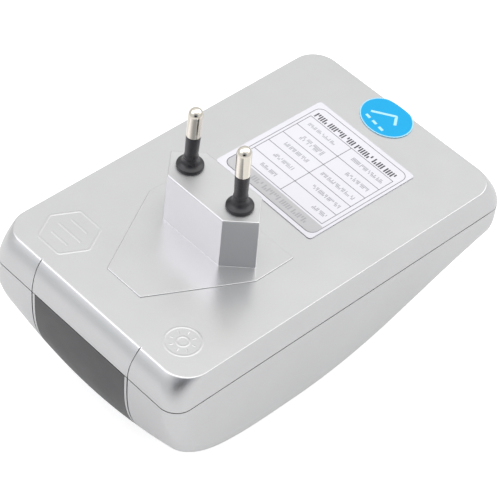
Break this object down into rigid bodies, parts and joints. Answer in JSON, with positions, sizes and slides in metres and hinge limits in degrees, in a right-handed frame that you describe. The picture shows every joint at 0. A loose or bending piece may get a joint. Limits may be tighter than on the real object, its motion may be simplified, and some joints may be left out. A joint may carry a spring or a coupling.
{
  "type": "plug-in power saver",
  "caption": "Wedge-shaped plug-in mains unit: silver plastic case with a rounded front, smoked window, and a round-pin plug boss on its flat back.",
  "frame": {"origin": "centre of the plug's engagement face, midway between the two pins", "axes": "+Z along the pins, out of the engagement face; +Y from the window end to the thin end of the case; +X across the case"},
  "size_m": [0.073, 0.123, 0.0818],
  "materials": {
    "silver_plastic": "silver-painted satin",
    "smoked_plastic": "smoked satin",
    "nickel": "nickel-plated, polished",
    "black_plastic": "satin",
    "white_foil": "printed foil",
    "blue_foil": "printed foil",
    "steel": "zinc-plated",
    "board": "phenolic board",
    "grey_case": "moulded, potted",
    "foam": "adhesive foam",
    "glass": "clear tube",
    "ceramic_blue": "dipped coating",
    "yellow_case": "moulded box",
    "resistor": "lacquered body",
    "green_led": "tinted epoxy",
    "red_wire": "insulation",
    "black_wire": "insulation"
  },
  "bodies": {
    "root": {"back_shell": "silver_plastic", "front_shell": "silver_plastic", "window_frame": "silver_plastic", "window_lens": "smoked_plastic", "plug_insert": "silver_plastic", "pin_live": "nickel", "pin_neutral": "nickel", "pin_sleeve_live": "black_plastic", "pin_sleeve_neutral": "black_plastic", "rating_label": "white_foil", "inspection_sticker": "blue_foil", "case_screw_1": "steel", "case_screw_2": "steel", "insert_screw_1": "steel", "insert_screw_2": "steel", "insert_screw_3": "steel", "insert_screw_4": "steel", "circuit_board": "board", "board_screw_1": "steel", "board_screw_2": "steel", "board_screw_3": "steel", "board_screw_4": "steel", "film_capacitor": "grey_case", "capacitor_pad": "foam", "fuse": "glass", "varistor": "ceramic_blue", "dropper_capacitor": "yellow_case", "bleed_resistor": "resistor", "led_resistor": "resistor", "smoothing_capacitor": "grey_case", "rectifier_diode_1": "black_plastic", "rectifier_diode_2": "black_plastic", "rectifier_diode_3": "black_plastic", "rectifier_diode_4": "black_plastic", "indicator_led_1": "green_led", "indicator_led_2": "green_led", "live_wire": "red_wire", "neutral_wire": "black_wire", "capacitor_lead_1": "red_wire", "capacitor_lead_2": "black_wire"}
  },
  "joints": []
}
